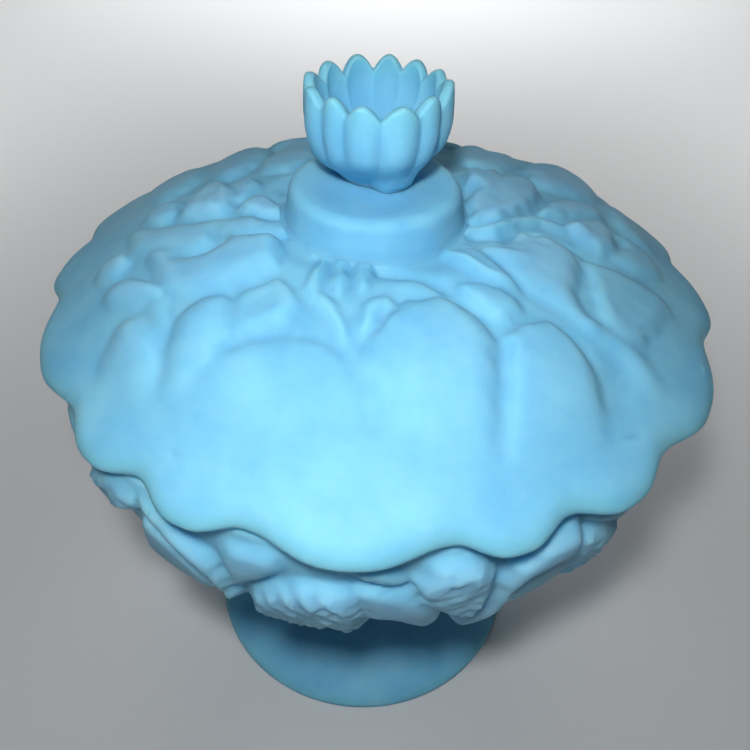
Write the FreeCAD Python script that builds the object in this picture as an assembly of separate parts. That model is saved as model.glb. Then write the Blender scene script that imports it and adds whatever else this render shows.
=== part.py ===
"""Footed covered dish in pressed satin glass: a footed bowl and the lid that lifts off it.

Frame: millimetres, +Z up. The origin is the centre of the ring that the foot rests on.
"""
import FreeCAD, Part
import math
import os

# ---------------------------------------------------------------- driving dimensions
SEAT_Z = 128.0             # the lid's seat on the rim of the bowl
BOWL_RADIUS = 79.0         # outside of the bowl
BOWL_CENTRE_Z = 126.0      # centre of the bowl's round
BOWL_WALL = 4.6
RIM_EASE = 1.2             # rounding on both edges of the bowl's rim

FOOT_RADIUS = 52.2
FOOT_EDGE_Z = 2.6          # height of the foot's widest line
REST_OUTER = 50.6          # ring that touches the table
REST_INNER = 46.5
RECESS_HEIGHT = 9.0        # hollow under the foot, at its centre
STEM_RADIUS = 14.5

LID_RADIUS = 85.5          # to the tips of the scalloped edge
NOTCH_DEPTH = 3.6          # from a tip in to the notches beside it
LID_WALL = 5.2
COLLAR_RADIUS = 20.7
COLLAR_BASE_Z = 154.9      # where the collar's wall meets the dome
COLLAR_TOP_Z = 163.0
COLLAR_EASE = 1.0

FLANGE_CLEARANCE = 1.2     # between the lid's flange and the inside of the bowl
FLANGE_WIDTH = 3.8
FLANGE_DEPTH = 4.2         # how far the flange reaches below the seat

BLOSSOM_RADIUS = 16.4
BLOSSOM_TOP_Z = 187.4
PETALS = 12
PETAL_TURN = -10.0         # degrees from +X to the first petal's tip
PETAL_DEPTH = 6.2          # how deep the gaps between the petal tips are cut

# Notches round the edge of the lid, in degrees from +X: the lobes differ in width.
NOTCH_ANGLES = [-173, -143, -124, -106, -78, -61, -41, -12.5,
                10, 30, 52, 75, 99, 123, 146.5, 168.5]
RIM_STEPS = 8              # points on each lobe of a lid section

# ---------------------------------------------------------------- derived sizes
BOWL_INNER = BOWL_RADIUS - BOWL_WALL
FLANGE_OUTER = BOWL_INNER - FLANGE_CLEARANCE
FLANGE_INNER = FLANGE_OUTER - FLANGE_WIDTH
FLANGE_Z = SEAT_Z - FLANGE_DEPTH
PETAL_PITCH = 360.0 / PETALS
BLOSSOM_SPAN = BLOSSOM_TOP_Z - COLLAR_TOP_Z


def point(radius, z):
    """A point of a turned profile, in the XZ plane."""
    return FreeCAD.Vector(radius, 0, z)


def line(*corners):
    """Straight edges through a list of (radius, z) corners."""
    pairs = zip(corners, corners[1:])
    return [Part.LineSegment(point(*a), point(*b)).toShape() for a, b in pairs]


def curve(*knots):
    """One smooth edge through a list of (radius, z) knots."""
    spline = Part.BSplineCurve()
    spline.interpolate([point(*knot) for knot in knots])
    return [spline.toShape()]


def arc(start, middle, end):
    """A circular arc through three (radius, z) points."""
    return [Part.Arc(point(*start), point(*middle), point(*end)).toShape()]


def turned(edges):
    """The solid that a closed profile sweeps about the Z axis."""
    face = Part.Face(Part.Wire(edges))
    return face.revolve(FreeCAD.Vector(0, 0, 0), FreeCAD.Vector(0, 0, 1), 360)


def round_at(radius, centre_z, distance):
    """The (radius, z) point of the bowl's round, at a distance from the axis."""
    return distance, centre_z - math.sqrt(radius ** 2 - distance ** 2)


# ---------------------------------------------------------------- footed bowl
def bowl_round(radius, start, end):
    """Arc of the bowl's round, between two distances from the axis."""
    middle = (start + end) / 2
    return arc(*(round_at(radius, BOWL_CENTRE_Z, d) for d in (start, middle, end)))


def footed_bowl():
    """Bowl, stem and foot, pressed in one piece of glass."""
    stem_join = 2 * STEM_RADIUS
    widest = (BOWL_RADIUS, BOWL_CENTRE_Z)
    inner_widest = (BOWL_INNER, BOWL_CENTRE_Z)
    ease = RIM_EASE
    outer_ease = (BOWL_RADIUS, SEAT_Z - ease)
    inner_ease = (BOWL_INNER, SEAT_Z - ease)
    turn = ease * (1 - math.sqrt(0.5))

    foot_top = curve((FOOT_RADIUS, FOOT_EDGE_Z), (48.6, 5.6), (40.0, 9.4), (30.0, 13.0),
                     (21.0, 18.2), (15.2, 26.0), (STEM_RADIUS, 34.5), (16.4, 43.5),
                     round_at(BOWL_RADIUS, BOWL_CENTRE_Z, stem_join))
    outside = bowl_round(BOWL_RADIUS, stem_join, BOWL_RADIUS)
    rim = (line(widest, outer_ease)
           + arc(outer_ease, (BOWL_RADIUS - turn, SEAT_Z - turn), (BOWL_RADIUS - ease, SEAT_Z))
           + line((BOWL_RADIUS - ease, SEAT_Z), (BOWL_INNER + ease, SEAT_Z))
           + arc((BOWL_INNER + ease, SEAT_Z), (BOWL_INNER + turn, SEAT_Z - turn), inner_ease)
           + line(inner_ease, inner_widest))
    inside = bowl_round(BOWL_INNER, BOWL_INNER, 0.0)
    axis = line((0.0, BOWL_CENTRE_Z - BOWL_INNER), (0.0, RECESS_HEIGHT))
    recess = curve((0.0, RECESS_HEIGHT), (16.0, 7.9), (30.0, 5.3), (42.0, 1.9),
                   (REST_INNER, 0.0))
    rest = line((REST_INNER, 0.0), (REST_OUTER, 0.0))
    foot_edge = arc((REST_OUTER, 0.0), (FOOT_RADIUS - 0.3, 1.0), (FOOT_RADIUS, FOOT_EDGE_Z))
    return turned(foot_top + outside + rim + inside + axis + recess + rest + foot_edge)


# ---------------------------------------------------------------- lid
def lobe_phase():
    """Angle and phase pairs round the lid: the phase is 0 at a tip and 1 at a notch."""
    for start, end in zip(NOTCH_ANGLES, NOTCH_ANGLES[1:] + [NOTCH_ANGLES[0] + 360]):
        for step in range(RIM_STEPS):
            share = step / RIM_STEPS
            yield math.radians(start + share * (end - start)), abs(2 * share - 1)


def scalloped(radius, z, depth):
    """Closed wire at one height, scalloped with the given notch depth."""
    knots = []
    for angle, phase in lobe_phase():
        reach = radius - depth * phase ** 2.2
        knots.append(FreeCAD.Vector(reach * math.cos(angle), reach * math.sin(angle), z))
    spline = Part.BSplineCurve()
    spline.interpolate(knots, PeriodicFlag=True)
    return Part.Wire([spline.toShape()])


def dome():
    """Outside of the lid: a rounded scalloped edge, with the lobes fading up the dome."""
    # radius, height and share of the notch depth
    sections = [(LID_RADIUS - 3.4, SEAT_Z, 0.94), (LID_RADIUS - 1.5, SEAT_Z + 0.5, 0.98),
                (LID_RADIUS - 0.3, SEAT_Z + 1.5, 1.0), (LID_RADIUS, SEAT_Z + 2.5, 1.0),
                (LID_RADIUS - 0.7, SEAT_Z + 3.7, 1.0), (LID_RADIUS - 2.4, SEAT_Z + 4.9, 0.95),
                (LID_RADIUS - 5.4, SEAT_Z + 6.9, 0.85), (LID_RADIUS - 9.4, SEAT_Z + 9.6, 0.65),
                (71.0, 140.8, 0.42), (64.0, 144.2, 0.2), (56.0, 147.3, 0.0),
                (47.0, 150.1, 0.0), (38.5, 152.2, 0.0), (31.0, 153.6, 0.0), (25.0, 154.4, 0.0),
                (COLLAR_RADIUS - 1, COLLAR_BASE_Z, 0.0)]
    wires = [scalloped(radius, z, share * NOTCH_DEPTH) for radius, z, share in sections]
    return Part.makeLoft(wires, True, False, False)


def collar():
    """Plain thick disc on top of the dome, with eased edges and a slightly dished top."""
    ease = COLLAR_EASE
    turn = ease * (1 - math.sqrt(0.5))
    top_outer = (COLLAR_RADIUS - ease, COLLAR_TOP_Z)
    wall_top = (COLLAR_RADIUS, COLLAR_TOP_Z - ease)
    root = COLLAR_BASE_Z - LID_WALL / 2
    return turned(line((0.0, root), (COLLAR_RADIUS, root), wall_top)
                  + arc(wall_top, (COLLAR_RADIUS - turn, COLLAR_TOP_Z - turn), top_outer)
                  + line(top_outer, (0.0, COLLAR_TOP_Z), (0.0, root)))


def lid_cavity():
    """Hollow under the lid, open downwards inside the flange."""
    below = FLANGE_Z - 5
    return turned(line((0.0, 149.8), (0.0, below), (FLANGE_INNER, below), (FLANGE_INNER, 129.0))
                  + curve((FLANGE_INNER, 129.0), (68.2, 133.6), (62.0, 138.8), (50.0, 143.8),
                          (34.0, 147.6), (16.0, 149.4), (0.0, 149.8)))


def locating_flange():
    """Ring under the lid that drops inside the bowl and keeps the lid from sliding."""
    ease = FLANGE_WIDTH / 4
    blank = Part.makeCylinder(FLANGE_OUTER, FLANGE_DEPTH + 3, FreeCAD.Vector(0, 0, FLANGE_Z))
    rim = [edge for edge in blank.Edges if edge.BoundBox.ZMax < FLANGE_Z + ease]
    return blank.makeChamfer(ease, rim)


def blossom_section(z, radius, furrow):
    """Closed wire of the blossom at one height, with a furrow between the petals."""
    knots = []
    for step in range(PETALS * 4):
        from_tip = 2 * math.pi * step / (PETALS * 4)
        angle = from_tip + math.radians(PETAL_TURN)
        reach = radius - furrow * (1 - math.cos(PETALS * from_tip)) / 2
        knots.append(FreeCAD.Vector(reach * math.cos(angle), reach * math.sin(angle), z))
    spline = Part.BSplineCurve()
    spline.interpolate(knots, PeriodicFlag=True)
    return Part.Wire([spline.toShape()])


def petal_gap():
    """Wedge between two petal tips, pointed below and widening upwards in two arcs."""
    bottom = BLOSSOM_TOP_Z - PETAL_DEPTH
    half = BLOSSOM_RADIUS * math.sin(math.radians(PETAL_PITCH / 2))
    above = BLOSSOM_TOP_Z + 2

    def at(side, z):
        return FreeCAD.Vector(BLOSSOM_RADIUS * 0.4, side * half, z)

    shoulder = bottom + 0.6 * PETAL_DEPTH
    right = Part.Arc(at(0, bottom), at(0.34, shoulder), at(1, BLOSSOM_TOP_Z))
    left = Part.Arc(at(-1, BLOSSOM_TOP_Z), at(-0.34, shoulder), at(0, bottom))
    cap = Part.makePolygon([at(1, BLOSSOM_TOP_Z), at(1, above), at(-1, above),
                            at(-1, BLOSSOM_TOP_Z)])
    edges = [right.toShape()] + cap.Edges + [left.toShape()]
    wedge = Part.Face(Part.Wire(edges))
    return wedge.extrude(FreeCAD.Vector(BLOSSOM_RADIUS, 0, 0))


def blossom():
    """Open flower on the collar: a ring of petals round a deep cup."""
    # share of the height, share of the radius, depth of the furrows
    sections = [(-0.06, 0.47, 0.0), (0.06, 0.51, 0.2), (0.16, 0.63, 0.5), (0.27, 0.79, 0.8),
                (0.38, 0.91, 1.0), (0.53, 0.99, 1.2), (0.74, 1.0, 1.2), (0.9, 0.975, 1.2),
                (1.0, 0.95, 1.2)]
    wires = [blossom_section(COLLAR_TOP_Z + share * BLOSSOM_SPAN, width * BLOSSOM_RADIUS, furrow)
             for share, width, furrow in sections]
    body = Part.makeLoft(wires, True, False, False)
    top = BLOSSOM_TOP_Z + 1
    cup = turned(line((0.0, 172.0), (0.0, top), (13.0, top), (12.8, BLOSSOM_TOP_Z))
                 + curve((12.8, BLOSSOM_TOP_Z), (12.3, 182.0), (10.2, 176.2), (6.0, 172.8),
                         (0.0, 172.0)))
    body = body.cut(cup)
    for petal in range(PETALS):
        gap = petal_gap()
        turn = PETAL_TURN + (petal + 0.5) * PETAL_PITCH
        gap.rotate(FreeCAD.Vector(0, 0, 0), FreeCAD.Vector(0, 0, 1), turn)
        body = body.cut(gap)
    return body


def lid():
    """Dome, collar, locating flange and blossom knob, pressed in one piece of glass."""
    shell = dome().fuse(locating_flange()).cut(lid_cavity())
    return shell.fuse([collar(), blossom()]).removeSplitter()


def save(shape, node):
    """Write one node, after making sure that it is one closed solid."""
    solid = shape.Solids[0]
    whole = shape.isValid() and len(shape.Solids) == 1
    print(f"{node}: valid {whole}, volume {solid.Volume / 1000:.1f} cm3, box {solid.BoundBox}")
    solid.exportStep(f"parts/{node}.step")


os.makedirs("parts", exist_ok=True)
save(footed_bowl(), "footed_bowl")
save(lid(), "lid")
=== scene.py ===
"""Looks of a footed covered dish in pale blue satin glass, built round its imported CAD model.

The moulded leaves, petals and buds are sculpted as height fields on finely divided surfaces.
Shapes are designed in millimetres in the CAD frame and written to the meshes in metres.
"""
import math

import bmesh
import bpy
import numpy as np
from mathutils import Matrix, Vector


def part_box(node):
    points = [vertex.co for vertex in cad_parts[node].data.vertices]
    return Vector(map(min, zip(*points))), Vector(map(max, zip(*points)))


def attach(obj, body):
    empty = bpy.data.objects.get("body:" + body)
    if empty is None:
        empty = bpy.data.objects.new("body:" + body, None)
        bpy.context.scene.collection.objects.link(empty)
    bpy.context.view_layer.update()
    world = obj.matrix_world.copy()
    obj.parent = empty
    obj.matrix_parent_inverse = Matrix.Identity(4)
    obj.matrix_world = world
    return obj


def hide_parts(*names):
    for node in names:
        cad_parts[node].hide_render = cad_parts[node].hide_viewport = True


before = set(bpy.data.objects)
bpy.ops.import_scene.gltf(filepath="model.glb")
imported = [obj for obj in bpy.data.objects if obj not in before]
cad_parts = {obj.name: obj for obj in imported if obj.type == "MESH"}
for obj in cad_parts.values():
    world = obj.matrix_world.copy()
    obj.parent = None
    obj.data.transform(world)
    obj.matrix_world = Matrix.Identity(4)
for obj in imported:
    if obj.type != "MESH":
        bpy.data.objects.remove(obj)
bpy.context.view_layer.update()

MM = 0.001
BODY_OF_BOWL = "bowl"
BODY_OF_LID = "lid"

# ---------------------------- sizes, from the frame
lid_low, lid_high = (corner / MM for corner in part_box("lid"))
bowl_low, bowl_high = (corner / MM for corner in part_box("footed_bowl"))
SEAT_Z = bowl_high.z
BOWL_RADIUS = (bowl_high.x - bowl_low.x) / 2
TOP_Z = lid_high.z
FLANGE_Z = lid_low.z

BOWL_WALL = 4.6
BOWL_INNER = BOWL_RADIUS - BOWL_WALL
BOWL_CENTRE_Z = SEAT_Z - 2.0
# Where the top of the stem meets the round of the bowl.
STEM_TOP_RADIUS = 26.0
# The ring under the lid stands this far off the bowl's wall, and is this thick.
FLANGE_PLAY = 1.2
FLANGE_WALL = 3.8
FLANGE_OUTER = BOWL_INNER - FLANGE_PLAY
FLANGE_INNER = FLANGE_OUTER - FLANGE_WALL
# The collar's top is slightly dished, and its edge is rounded.
COLLAR_RADIUS = 20.7
COLLAR_TOP_Z = 163.0
COLLAR_DISH_Z = COLLAR_TOP_Z - 0.55
COLLAR_EDGE = 2.8
HOLLOW_TOP_Z = 149.8

# The lid's section is drawn with its edge this far from the axis, and the edge is then moved
# out or in to follow the lobes.
EDGE_RADIUS = 85.0
UNDERSIDE_Z = 128.0
# Each lobe of the scalloped edge runs from its notch to the next one: degrees from +X to the
# notch, and how far the lobe's tip reaches from the axis.
LOBES = [(-173, 82.9), (-143, 82.8), (-124, 83.3), (-106, 84.3), (-78, 84.8), (-61, 85.8),
         (-41, 87.0), (-12.5, 89.0), (10, 90.8), (30, 93.0), (52, 93.5), (75, 92.5),
         (99, 90.0), (123, 89.4), (146.5, 87.2), (168.5, 84.8)]
NOTCH_DEPTH = 3.6

# The dome under the leaves swells above its plain outline by this much.
GROUND = 2.0
# How steeply the edges of raised leaves rise; lower is steeper.
LID_STEEP = 0.8
BOWL_STEEP = 0.6

# Points round each piece.
AROUND_LID = 520
AROUND_BOWL = 520
AROUND_BLOSSOM = 360

# ---------------------------- flower knob
# Degrees from +X to each petal's middle, half its width in degrees, height of its tip above
# the collar, and how far it stands out of the cup.
PETALS = [(-4, 19, 23.1, 0.3), (26, 15.5, 22.7, 0.0), (55, 15, 22.8, 0.0),
          (81.5, 14.5, 22.9, 0.2), (110, 15, 22.9, 0.2), (141, 15.5, 22.7, 0.0),
          (171.5, 16.5, 22.6, 0.3), (205, 16, 22.6, 0.4), (232, 13.5, 22.5, -0.2),
          (259, 15, 22.2, 0.4), (289, 16.5, 22.2, 0.6), (318, 15, 22.8, 0.0)]
# Radius of the flower at each level, from 0 at the collar to 1 at the petals' tips.
FLOWER_SIDE = [(0.0, 8.0), (0.05, 9.0), (0.1, 9.8), (0.15, 11.0), (0.2, 12.2), (0.27, 13.7),
               (0.38, 15.2), (0.58, 16.4), (0.72, 16.5), (0.86, 16.3), (1.0, 15.9)]
# The cup stands over the first place, and leans there from the second, the base's middle.
CUP_X, CUP_Y = 0.0, 0.8
BASE_X, BASE_Y = -0.5, 5.6
# How deep the flower's base sinks into the collar, the height of the cup's floor above the
# collar, and the thickness of the petals.
BASE_DEPTH = 0.8
CUP_FLOOR = 9.8
PETAL_WALL = 2.4
# Rings of points up the outside, over the petals' edge and down into the cup.
SIDE_RINGS = 44
EDGE_RINGS = 7
CUP_RINGS = 34

# ---------------------------- colours
# Colours of the glass: its darker and paler clouds, a paler colour painted on the tops of the
# relief as a highlight, and thin edges.
CLOUD_COLOURS = (0.20, 0.52, 0.75, 1), (0.285, 0.63, 0.81, 1)
# Painted highlight: paler colour mixed onto the tops of the relief.
RELIEF_HIGHLIGHT_COLOUR = (0.34, 0.60, 0.83, 1)
THIN_COLOUR = (0.20, 0.53, 0.58, 1)
FLOOR_COLOURS = (0.70, 0.71, 0.72, 1), (0.74, 0.745, 0.75, 1)

# ---------------------------- studio, in metres
FLOOR_HALF = 3.0
GAMMA = 0.87
# Area lights: place, the point each one faces, side in metres, power and spread in degrees.
MIDDLE = (0, 0, 0.12)
LIGHTS = {
    "key_light": ((-0.012, -0.155, 0.283), (0, -0.04, 0.12), 0.02, 0.405, 180),
    "left_fill": ((-0.8, -0.2, 0.7), MIDDLE, 0.6, 0.05, 180),
    "right_fill": ((0.9, 0.4, 0.7), MIDDLE, 0.6, 0.03, 180),
    "left_rear_fill": ((-0.6, 0.9, 0.25), MIDDLE, 0.5, 0.6, 180),
    "right_rear_fill": ((0.6, 0.9, 0.25), MIDDLE, 0.5, 0.6, 180),
    "floor_wash": ((0, 1.1, 1.0), (0, 0.9, 0), 0.8, 4.5, 80),
    "front_wash": ((0, -1.1, 1.0), (0, -1.1, 0), 0.8, 4.5, 80),
    "left_wash": ((-0.6, 0.2, 0.7), (-0.62, 0.2, 0), 0.3, 1.1, 75),
    "right_wash": ((0.6, 0.2, 0.7), (0.62, 0.2, 0), 0.3, 1.1, 75),
}
AIR_COLOUR = (0.92, 0.95, 1.0, 1)
AIR_STRENGTH = 0.02
# The camera looks down by its pitch; its angles are in radians.
CAMERA_PLACE = (0.0009, -0.1574, 0.2411)
CAMERA_PITCH = 0.724
CAMERA_YAW = 0.005
CAMERA_ROLL = 0.039
LENS_MM = 34.56
SENSOR_MM = 36.0


# ---------------------------- curves and grids
def smooth_line(points, closed, steps=6):
    """Catmull-Rom line through given points."""
    p = np.array(points, float)
    if closed:
        p = np.vstack([p[-1:], p, p[:2]])
    else:
        p = np.vstack([2 * p[:1] - p[1:2], p, 2 * p[-1:] - p[-2:-1]])
    out = []
    for a, b, c, d in zip(p, p[1:], p[2:], p[3:]):
        for t in np.arange(steps) / steps:
            out.append(0.5 * (2 * b + (c - a) * t + (2 * a - 5 * b + 4 * c - d) * t ** 2
                              + (3 * b - a - 3 * c + d) * t ** 3))
    if not closed:
        out.append(p[-2])
    return np.array(out)


def smoothstep(low, high, value):
    """Rise smoothly from 0 at the low end to 1 at the high end."""
    t = np.clip((value - low) / (high - low), 0.0, 1.0)
    return t * t * (3 - 2 * t)


def off_from(angle, middle):
    """Degrees from a direction to each angle, from -180 to 180."""
    return (angle - middle + 180) % 360 - 180


def pillow(depth, shoulder, steep=0.5):
    """Rise from 0 at an edge to 1 at the shoulder's width inside it: 0.5 is a quarter round."""
    t = np.clip(depth / shoulder, 0.0, 1.0)
    return (1 - (1 - t) ** 2) ** steep


def nearest(x, y, line):
    """Distance from each point to a polyline, and how far along the line its nearest point is."""
    start, end = line[:-1], line[1:]
    run = end - start
    length = np.maximum(np.hypot(run[:, 0], run[:, 1]), 1e-9)
    before = np.concatenate([[0.0], np.cumsum(length)[:-1]])
    dx = x[:, None] - start[:, 0]
    dy = y[:, None] - start[:, 1]
    t = np.clip((dx * run[:, 0] + dy * run[:, 1]) / length ** 2, 0, 1)
    gap = np.hypot(dx - t * run[:, 0], dy - t * run[:, 1])
    best = gap.argmin(1)
    row = np.arange(len(x))
    return gap[row, best], (before[best] + t[row, best] * length[best]) / length.sum()


def inside(x, y, line):
    """Even-odd test of points against a closed polyline."""
    hit = np.zeros(len(x), bool)
    for (x0, y0), (x1, y1) in zip(line[:-1], line[1:]):
        if y0 == y1:
            continue
        crosses = (y0 > y) != (y1 > y)
        hit ^= crosses & (x < x0 + (y - y0) * (x1 - x0) / (y1 - y0))
    return hit


def wobble(x, y, turn):
    """Small smooth drift in mm, the sum of a broad, a middling and a fine wave."""
    return (0.32 * np.sin(0.61 * x + 0.83 * y + turn)
            + 0.18 * np.sin(1.52 * x - 1.07 * y + 2 * turn)
            + 0.08 * np.sin(2.3 * x + 2.9 * y + 3 * turn))


class Relief:
    """Height over a smooth surface, in mm, sculpted with raised pads, ridges and hollows.

    x and y are flat coordinates in mm of each grid point; the grid keeps its own shape. Ribs
    and nubs are kept apart from the rest, as grain.
    """

    def __init__(self, x, y, steep):
        """Start level; x and y drift a little, so that nothing drawn on them looks ruled."""
        self.steep = steep
        self.shape = x.shape
        self.x = (x + wobble(x, y, 0.7)).ravel()
        self.y = (y + wobble(y, x, 1.9)).ravel()
        self.h = np.zeros(x.size)
        self.grain = np.zeros(x.size)

    def near(self, line, margin):
        """Indices of the points within a margin of a line's box."""
        low, high = line.min(0) - margin, line.max(0) + margin
        return np.nonzero((self.x > low[0]) & (self.x < high[0])
                          & (self.y > low[1]) & (self.y < high[1]))[0]

    def depth(self, line, margin):
        """Points near a closed outline, and how deep inside it each one is."""
        at = self.near(line, margin)
        x, y = self.x[at], self.y[at]
        gap, _ = nearest(x, y, line)
        return at, np.where(inside(x, y, line), gap, -gap)

    def pad(self, outline, height, shoulder=5.0, crease=0.3, slope=(0.0, 0.0), hollow=0.0,
            melt=None, ribs=0.0, rib_pitch=3.0, rib_turn=0.0, nubs=0.0, nub_size=1.6, seed=1):
        """A raised leaf or petal that covers what lies below it, with a creased edge.

        slope is the rise of its top per mm along x and y, and hollow is how far its middle
        sinks. melt gives two points: the pad is whole at the first and gone into the ground
        at the second.
        """
        line = smooth_line(outline, True)
        line = np.vstack([line, line[:1]])
        at, d = self.depth(line, 4.0)
        x, y = self.x[at], self.y[at]
        centre = line.mean(0)
        rise = pillow(d, shoulder, self.steep)
        top = height * rise + (slope[0] * (x - centre[0]) + slope[1] * (y - centre[1])) * rise
        top -= hollow * smoothstep(0.35 * shoulder, 1.5 * shoulder, d)
        grain = np.zeros(len(at))
        if ribs:
            turn = math.radians(rib_turn)
            across = (x - centre[0]) * math.cos(turn) + (y - centre[1]) * math.sin(turn)
            bend = 0.5 * np.sin((y - centre[1]) * 0.35)
            grain += ribs * np.cos(2 * math.pi * (across + bend) / rib_pitch) * rise
        if nubs:
            grain += nubs * rise * bumps(x, y, line, nub_size, seed)
        cover = smoothstep(-0.3, 0.8, d)
        whole = np.ones(len(at))
        if melt:
            (ax, ay), (bx, by) = melt
            run = (bx - ax) ** 2 + (by - ay) ** 2
            whole = 1 - smoothstep(0, 1, ((x - ax) * (bx - ax) + (y - ay) * (by - ay)) / run)
        self.h[at] = self.h[at] * (1 - cover) + top * cover * whole
        self.grain[at] = self.grain[at] * (1 - cover) + grain * cover * whole
        self.h[at] -= crease * whole * np.exp(-((d + 0.2) / 0.9) ** 2)

    def ridge(self, path, height, width, taper=0.35, crease=0.0):
        """A rounded ridge along a line, thinning towards both ends."""
        line = smooth_line(path, False)
        at = self.near(line, width + 3.0)
        gap, along = nearest(self.x[at], self.y[at], line)
        end = pillow(np.minimum(along, 1 - along), taper)
        half = width * (0.35 + 0.65 * end)
        body = np.sqrt(np.clip(1 - (gap / half) ** 2, 0, 1))
        self.h[at] += height * end * body ** 1.3
        self.h[at] -= crease * end * np.exp(-((gap - half - 0.4) / 0.8) ** 2)

    def furrow(self, path, depth, width, taper=0.25):
        """A soft valley along a line."""
        line = smooth_line(path, False)
        at = self.near(line, 2.5 * width)
        gap, along = nearest(self.x[at], self.y[at], line)
        end = pillow(np.minimum(along, 1 - along) + 0.02, taper)
        self.h[at] -= depth * end * np.exp(-(gap / width) ** 2)

    def swell(self, centre, height, radii, turn=0.0):
        """A soft mound, or a hollow if the height is negative."""
        a = math.radians(turn)
        dx, dy = self.x - centre[0], self.y - centre[1]
        u = (dx * math.cos(a) + dy * math.sin(a)) / radii[0]
        v = (-dx * math.sin(a) + dy * math.cos(a)) / radii[1]
        self.h += height * np.exp(-(u * u + v * v))

    def grid(self):
        """Height of the forms and their grain, in the grid's own shape."""
        return (self.h + self.grain).reshape(self.shape)


def bumps(x, y, line, size, seed):
    """Lumpy surface inside an outline, as of packed stamens."""
    rng = np.random.default_rng(seed)
    low, high = line.min(0), line.max(0)
    area = (high[0] - low[0]) * (high[1] - low[1])
    count = int(area / size ** 2 * 0.8)
    out = np.zeros(len(x))
    for _ in range(count):
        cx, cy = rng.uniform(low, high)
        s = size * rng.uniform(0.5, 0.9)
        lift = rng.uniform(-0.6, 1.0)
        out += lift * np.exp(-((x - cx) ** 2 + (y - cy) ** 2) / s ** 2)
    return out


def unevenness(x, y, size, seed):
    """Smooth random swells, mostly from -1 to 1, about the given size in mm."""
    rng = np.random.default_rng(seed)
    waves = 14
    total = np.zeros(x.shape)
    for _ in range(waves):
        turn = rng.uniform(0, math.pi)
        wave = 2 * math.pi / (size * rng.uniform(1.2, 2.8))
        phase = rng.uniform(0, 2 * math.pi)
        total += np.sin(wave * (x * math.cos(turn) + y * math.sin(turn)) + phase)
    return total / 6.0


def soften(grid, passes):
    """Blur a height field whose first axis runs round the object."""
    for _ in range(passes):
        grid = 0.5 * grid + 0.25 * (np.roll(grid, 1, 0) + np.roll(grid, -1, 0))
        inner = 0.5 * grid[:, 1:-1] + 0.25 * (grid[:, 2:] + grid[:, :-2])
        grid = np.hstack([grid[:, :1], inner, grid[:, -1:]])
    return grid


def resample(knots, step):
    """Points along a profile of (radius, z) corners, at most a step apart."""
    out = [np.array(knots[0], float)]
    for a, b in zip(knots, knots[1:]):
        a, b = np.array(a, float), np.array(b, float)
        count = max(1, int(math.ceil(np.linalg.norm(b - a) / step)))
        out += [a + (b - a) * (i + 1) / count for i in range(count)]
    return np.array(out)


def curved_profile(knots, step):
    """A smooth profile through (radius, z) knots, at an even step."""
    line = smooth_line(knots, False, steps=24)
    length = np.concatenate([[0], np.cumsum(np.hypot(*np.diff(line, axis=0).T))])
    count = max(2, int(round(length[-1] / step)))
    at = np.linspace(0, length[-1], count + 1)
    return np.stack([np.interp(at, length, line[:, k]) for k in (0, 1)], 1)


def arc_profile(centre, radius, start, end, count):
    """Part of a circle in the profile plane, between two angles in degrees."""
    a = np.radians(np.linspace(start, end, count + 1))
    return np.stack([centre[0] + radius * np.cos(a), centre[1] + radius * np.sin(a)], 1)


def place_in_scene(name, data):
    """Put an object with this data in the scene."""
    made = bpy.data.objects.new(name, data)
    bpy.context.scene.collection.objects.link(made)
    return made


def turned_mesh(name, x, y, z, start, end):
    """Closed mesh from a grid of points (round, along), whose ends meet on two more points."""
    around, along = x.shape
    verts = np.stack([x, y, z], 2).transpose(1, 0, 2).reshape(-1, 3) * MM
    first = np.arange(around)
    after = (first + 1) % around
    faces = []
    for ring in range(along - 1):
        a, b = ring * around, (ring + 1) * around
        faces += np.stack([a + first, a + after, b + after, b + first], 1).tolist()
    verts = verts.tolist()
    verts.append([v * MM for v in start])
    faces += [[len(verts) - 1, int(j), int(i)] for i, j in zip(first, after)]
    verts.append([v * MM for v in end])
    last = (along - 1) * around
    faces += [[len(verts) - 1, int(last + i), int(last + j)] for i, j in zip(first, after)]
    mesh = bpy.data.meshes.new(name)
    mesh.from_pydata(verts, [], faces)
    mesh.validate()
    mesh.shade_smooth()
    return place_in_scene(name, mesh)


def paint(piece, name, values):
    """Keep one number per vertex, which the material reads."""
    layer = piece.data.attributes.new(name, "FLOAT", "POINT")
    full = np.zeros(len(piece.data.vertices), np.float32)
    full[:values.size] = values.ravel()
    layer.data.foreach_set("value", full)


def face_outwards(piece):
    """Point every face of a closed mesh outwards."""
    mesh = bmesh.new()
    mesh.from_mesh(piece.data)
    bmesh.ops.recalc_face_normals(mesh, faces=mesh.faces)
    mesh.to_mesh(piece.data)
    mesh.free()


# ---------------------------- lid
# Outlines seen from above, in mm, that are used on both sides of the lid. The right and front
# pads run out over its edge.
LEFT_PAD = [(-57.5, -50), (-58.2, -43), (-57.2, -38.5), (-55.8, -35), (-52.8, -32.6),
            (-49.5, -33), (-47, -35.4), (-44.6, -39), (-43, -45), (-42.8, -52), (-46, -60),
            (-54, -60)]
SPOON_LEAF = [(-29.5, -34), (-25, -30.6), (-20.5, -28.8), (-17, -30.5), (-15, -34.5),
              (-14.6, -38.5), (-17, -42), (-22, -43.7), (-28, -44.6), (-30, -40)]
RIGHT_PAD = [(26.8, -41.5), (30.5, -38), (35, -35.4), (38.4, -35), (41.7, -36.7),
             (44.8, -39.6), (46.8, -43.6), (48, -47.1), (48.6, -52), (49.2, -58),
             (49, -66), (47, -76), (42, -88), (30, -90), (25.2, -80), (25.6, -66),
             (26.2, -56), (26.8, -49)]
FRONT_PAD = [(-1.4, -48.5), (2.2, -41), (5.6, -36.2), (9.8, -34.2), (14.5, -33),
             (18.4, -34), (22.2, -36.8), (25.2, -40.6), (26.5, -44.5), (26.4, -52),
             (26.1, -60), (25.7, -70), (25.4, -88), (12, -94), (3, -88), (2, -70),
             (0.8, -58)]


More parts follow.
